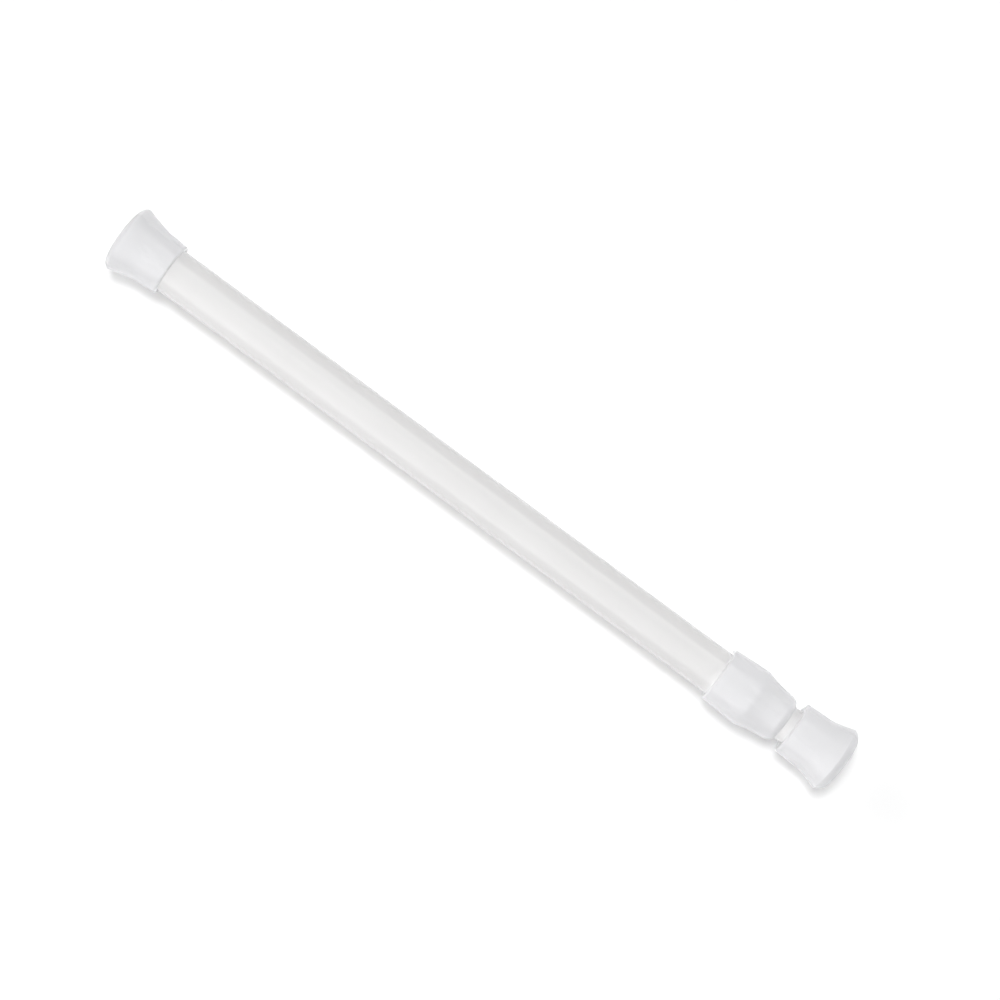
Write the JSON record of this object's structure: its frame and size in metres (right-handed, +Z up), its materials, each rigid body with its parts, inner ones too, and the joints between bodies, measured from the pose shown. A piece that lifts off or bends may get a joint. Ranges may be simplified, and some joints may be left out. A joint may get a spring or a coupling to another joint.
{
  "type": "extendable curtain rod",
  "caption": "Telescoping spring tension rod of painted steel tube, with a tapered joint collar, a hidden twist lock and a flared moulded foot at each end.",
  "frame": {"origin": "middle of the left foot's wall face, on the rod's axis", "axes": "+X along the rod towards the foot that draws out, +Z up, the rod lying level"},
  "size_m": [0.3, 0.0246, 0.0246],
  "materials": {
    "tube_enamel": "satin warm white stove enamel on steel",
    "white_moulding": "satin cool white moulding",
    "natural_nylon": "natural nylon, slightly waxy",
    "zinc_plate": "bright zinc plate",
    "spring_wire": "drawn spring wire, lightly oiled"
  },
  "bodies": {
    "outer": {"outer_tube": "tube_enamel", "left_foot": "white_moulding", "collar": "white_moulding"},
    "guide": {"guide_ring": "natural_nylon"},
    "inner": {"inner_tube": "tube_enamel", "right_foot": "white_moulding", "travel_rivet": "zinc_plate", "spring_seat": "natural_nylon", "spring": "spring_wire"},
    "plug": {"lock_plug": "natural_nylon", "cam_washer": "zinc_plate", "cam_screw": "zinc_plate"},
    "cam": {"cam_ring": "natural_nylon"}
  },
  "joints": [
    {"name": "extension", "type": "slide", "parent": "outer", "child": "guide", "axis": [1, 0, 0], "range_m": [0, 0.2]},
    {"name": "twist", "type": "hinge", "parent": "guide", "child": "inner", "pos_m": [0, 0, 0], "axis": [1, 0, 0], "continuous": true},
    {"name": "spring_travel", "type": "slide", "parent": "inner", "child": "plug", "axis": [1, 0, 0], "range_m": [0, 0.018], "stiffness_N_per_m": 2000, "deforming": ["spring"]},
    {"name": "cam_turn", "type": "hinge", "parent": "plug", "child": "cam", "pos_m": [0.0137, 0, 0.00059], "axis": [1, 0, 0], "range_deg": [0, 50]}
  ]
}
